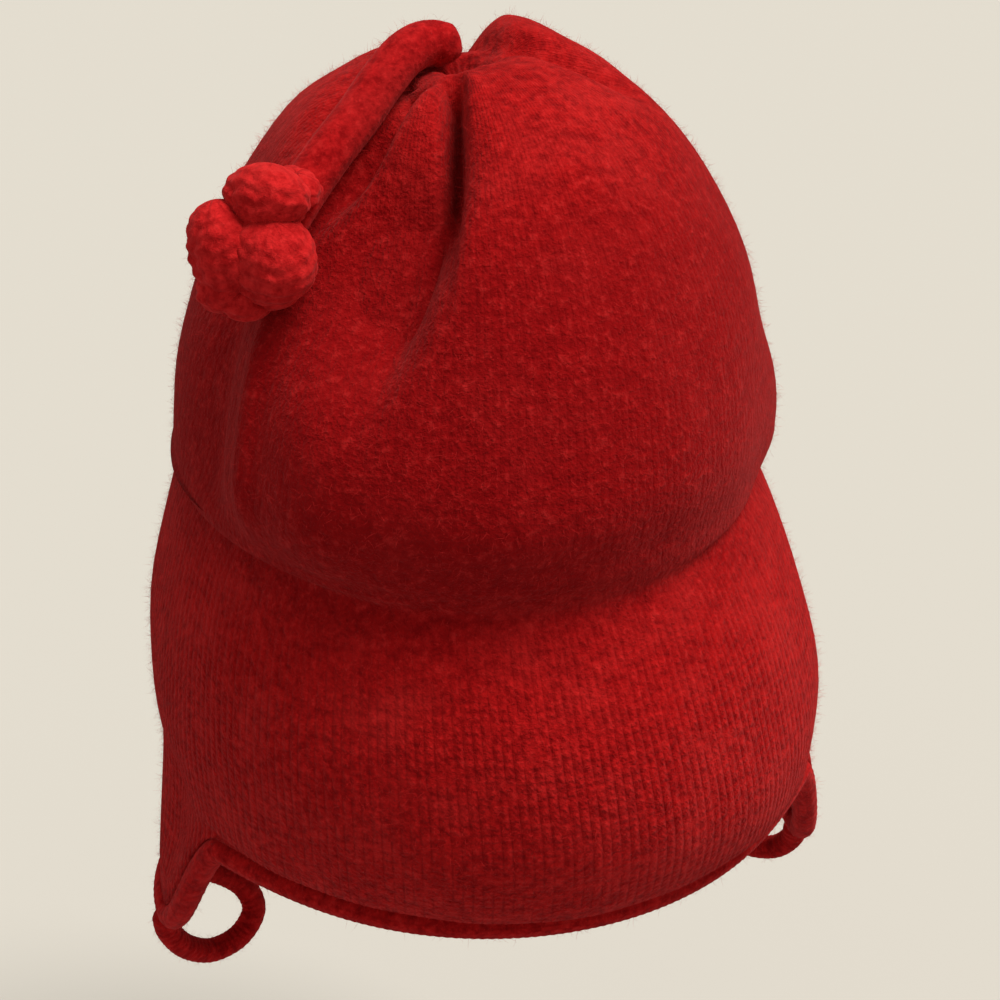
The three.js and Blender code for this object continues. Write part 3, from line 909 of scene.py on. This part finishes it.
def add_lights():
    light = bpy.data.lights.new("key", "SUN")
    light.energy = SUN_STRENGTH
    light.angle = math.radians(SUN_WIDTH)
    light.color = SUN_COLOUR
    key = bpy.data.objects.new("key", light)
    key.rotation_euler = Vector(SUN_DIRECTION).to_track_quat("-Z", "Y").to_euler()
    bpy.context.scene.collection.objects.link(key)
    world = bpy.data.worlds.new("room")
    world.use_nodes = True
    backdrop = world.node_tree.nodes["Background"]
    backdrop.inputs["Color"].default_value = ROOM_COLOUR
    rays = world.node_tree.nodes.new("ShaderNodeLightPath")
    strength = world.node_tree.nodes.new("ShaderNodeMapRange")
    strength.inputs["To Min"].default_value = ROOM_LIGHT
    strength.inputs["To Max"].default_value = ROOM_SEEN
    world.node_tree.links.new(rays.outputs["Is Camera Ray"], strength.inputs["Value"])
    world.node_tree.links.new(strength.outputs[0], backdrop.inputs["Strength"])
    bpy.context.scene.world = world
    bpy.context.scene.view_settings.view_transform = "Standard"


add_camera()

cord_finish = wool_finish(
    "loop_wool", DEEP_RED, WOOL_RED, PALE_RED, stitch=0.4, felt=0.5, depth=0.0005)
# The tail's finish takes the darker red, painted shade on the tail
tail_finish = wool_finish(
    "tail_wool", DEEP_RED, TAIL_SHADED_RED, PALE_RED, stitch=0.1, felt=0.5, depth=0.0005)
# The cap's finish darkens its crown with painted shade
cap_finish = wool_finish(
    "cap_wool", DEEP_RED, WOOL_RED, PALE_RED, stitch=0.5, felt=0.9, depth=0.0008,
    crown_stitch=0.2, crown_painted_shade=0.7)
edge_finish = wool_finish(
    "edge_wool", DEEP_RED, WOOL_RED, PALE_RED, stitch=0.4, felt=0.5, depth=0.0005)
knot_finish = wool_finish(
    "knot_wool", YARN_DEEP, YARN_RED, PALE_RED, stitch=0.5, felt=0.6, depth=0.0006)

left_loop, left_path, left_length = knitted_cord(
    "left_loop_knit", LEFT_LOOP_ROUTE, LOOP_CORD, LOOP_WALES, cord_finish,
    LEFT_LOOP_STEPS, LOOP_SIDES, LOOP_RELIEF, LOOP_NARROWING, LOOP_ROOT)
right_loop, right_path, right_length = knitted_cord(
    "right_loop_knit", RIGHT_LOOP_ROUTE, LOOP_CORD, LOOP_WALES, cord_finish,
    RIGHT_LOOP_STEPS, LOOP_SIDES, LOOP_RELIEF, LOOP_NARROWING, LOOP_ROOT)
tail, tail_path, tail_length = knitted_cord(
    "tail_knit", TAIL_ROUTE, TAIL_CORD, TAIL_WALES, tail_finish,
    TAIL_STEPS, TAIL_SIDES, TAIL_RELIEF, TAIL_NARROWING)
cap = cap_knit(cap_finish)
edge = edge_knit(edge_finish)
knot = tail_yarn(knot_finish)
for piece, node in ((left_loop, "left_loop"), (right_loop, "right_loop"), (tail, "tail"),
                    (cap, "cap_shell"), (edge, "edge_cord"), (knot, "tail_knot")):
    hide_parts(node)

haze = fibre_tree(fibre_mesh(), fibre_finish("fibre_wool", FIBRE_RED))
band_skin = cap_skin("band_skin", 0, WAIST_SECTION)
crown_skin = cap_skin("crown_skin", WAIST_SECTION, SKIN_END)
band_haze = fibre_haze("band_fibres", band_skin, haze)
crown_haze = fibre_haze("crown_fibres", crown_skin, haze)
edge_haze = fibre_haze("edge_fibres", edge.data, haze)
left_haze = fibre_haze("left_loop_fibres", left_loop.data, haze)
right_haze = fibre_haze("right_loop_fibres", right_loop.data, haze)
tail_haze = fibre_haze("tail_fibres", tail.data, haze)
knot_haze = fibre_haze("knot_fibres", knot.data, haze)
haze_pieces = (band_haze, crown_haze, edge_haze, left_haze, right_haze, tail_haze, knot_haze)

for piece in (cap, edge, left_loop, right_loop, tail, knot, *haze_pieces):
    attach(piece, "root")


def cord_points(path):
    """Enough of a cord's points to have its length."""
    return [tuple(point) for point in path[::6].tolist() + [path[-1].tolist()]]


cord_points(left_path)
cord_points(right_path)
cord_points(tail_path)

add_floor()
add_lights()
